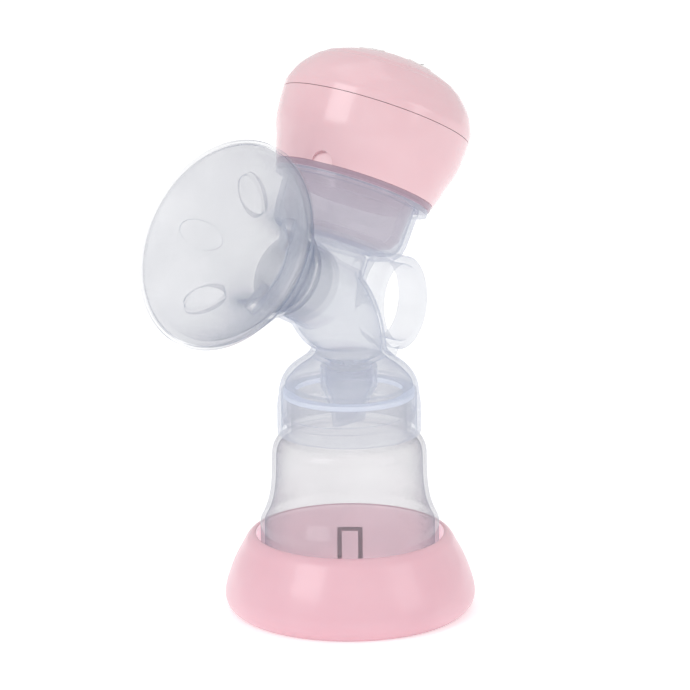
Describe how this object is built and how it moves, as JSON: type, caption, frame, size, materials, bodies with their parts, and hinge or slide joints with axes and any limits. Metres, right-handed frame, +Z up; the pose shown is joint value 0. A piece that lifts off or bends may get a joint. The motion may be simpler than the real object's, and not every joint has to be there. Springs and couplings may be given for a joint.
{
  "type": "breast pump",
  "caption": "Single electric breast pump: clear funnel with petal cushion, tilted motor head, finger ring, screw-on bottle and round stand.",
  "frame": {"origin": "centre of the stand's flat underside, on the bottle's axis", "axes": "+Z up along the bottle's axis, -X toward the side the funnel points to, +Y across the plane of symmetry"},
  "size_m": [0.1232, 0.0868, 0.1963],
  "materials": {
    "pink_shell": "glossy injection moulded ABS",
    "clear_bottle": "translucent blow moulded polypropylene",
    "clear_body": "translucent moulded polypropylene",
    "clear_shield": "clear moulded polypropylene",
    "silicone_clear": "milky silicone",
    "silicone_seal": "silicone",
    "frosted_cover": "frosted polypropylene",
    "light_window": "diffusing acrylic",
    "key_white": "satin moulded ABS",
    "inner_white": "matte moulded ABS",
    "screw_steel": "plated steel",
    "motor_can": "drawn steel",
    "crank_steel": "turned steel",
    "pump_plastic": "glass-filled nylon",
    "hose_silicone": "extruded silicone",
    "battery_film": "shrink film over a lithium cell",
    "board_green": "solder mask on glass fibre",
    "socket_metal": "plated steel",
    "plug_silicone": "coloured silicone"
  },
  "bodies": {
    "stand": {"base_stand": "pink_shell"},
    "bottle": {"bottle": "clear_bottle"},
    "seal": {"neck_seal": "silicone_clear"},
    "body": {"pump_body": "clear_body", "duckbill_valve": "silicone_clear"},
    "shield": {"breast_shield": "clear_shield"},
    "cushion": {"massage_cushion": "silicone_clear"},
    "membrane": {"membrane": "silicone_clear"},
    "cover": {"membrane_cover": "frosted_cover"},
    "head": {"lower_housing": "pink_shell", "upper_cover": "pink_shell", "light_window": "light_window", "bottom_plate": "inner_white", "nozzle_seal": "silicone_seal", "housing_screws": "screw_steel", "pump_bracket": "inner_white", "drive_motor": "motor_can", "pump_block": "pump_plastic", "release_valve": "pump_plastic", "air_hose": "hose_silicone", "valve_hose": "hose_silicone", "battery_pack": "battery_film", "main_board": "board_green", "charging_socket": "socket_metal"},
    "power_key": {"key_power": "key_white"},
    "mode_key": {"key_mode": "key_white"},
    "plus_key": {"key_plus": "key_white"},
    "minus_key": {"key_minus": "key_white"},
    "crank": {"motor_crank": "crank_steel"},
    "plug": {"port_plug": "plug_silicone"}
  },
  "joints": [
    {"name": "bottle_lift", "type": "slide", "parent": "stand", "child": "bottle", "axis": [0, 0, 1], "range_m": [0, 0.03]},
    {"name": "cap_rise", "type": "slide", "parent": "bottle", "child": "seal", "axis": [0, 0, 1], "range_m": [0, 0.00501]},
    {"name": "cap_unscrew", "type": "hinge", "parent": "seal", "child": "body", "pos_m": [0, 0, 0.0764], "axis": [0, 0, 1], "range_deg": [0, 450]},
    {"name": "shield_pull", "type": "slide", "parent": "body", "child": "shield", "axis": [-0.887, 0, 0.4617], "range_m": [0, 0.02]},
    {"name": "cushion_pull", "type": "slide", "parent": "shield", "child": "cushion", "axis": [-0.887, 0, 0.4617], "range_m": [0, 0.046]},
    {"name": "membrane_lift", "type": "slide", "parent": "body", "child": "membrane", "axis": [0.454, 0, 0.891], "range_m": [0, 0.02]},
    {"name": "cover_lift", "type": "slide", "parent": "membrane", "child": "cover", "axis": [0.454, 0, 0.891], "range_m": [0, 0.008]},
    {"name": "head_pull", "type": "slide", "parent": "cover", "child": "head", "axis": [0.454, 0, 0.891], "range_m": [0, 0.012]},
    {"name": "power_press", "type": "slide", "parent": "head", "child": "power_key", "axis": [-0.6485, 0, -0.7612], "range_m": [0, 0.0005], "stiffness_N_per_m": 400, "springref_m": -0.001},
    {"name": "mode_press", "type": "slide", "parent": "head", "child": "mode_key", "axis": [-0.2347, 0, -0.9721], "range_m": [0, 0.0005], "stiffness_N_per_m": 400, "springref_m": -0.001},
    {"name": "plus_press", "type": "slide", "parent": "head", "child": "plus_key", "axis": [-0.4416, -0.2322, -0.8667], "range_m": [0, 0.0005], "stiffness_N_per_m": 400, "springref_m": -0.001},
    {"name": "minus_press", "type": "slide", "parent": "head", "child": "minus_key", "axis": [-0.4416, 0.2322, -0.8667], "range_m": [0, 0.0005], "stiffness_N_per_m": 400, "springref_m": -0.001},
    {"name": "crank_turn", "type": "hinge", "parent": "head", "child": "crank", "pos_m": [0.01504, 0, 0.15948], "axis": [0, 1, 0], "continuous": true},
    {"name": "plug_swing", "type": "hinge", "parent": "head", "child": "plug", "pos_m": [0.03699, -0.0072, 0.14661], "axis": [-0.454, 0, -0.891], "range_deg": [0, 100]}
  ],
  "couplings": [
    {"joint": "cap_rise", "follows": "cap_unscrew", "m_per_rad": 0.00063662}
  ]
}
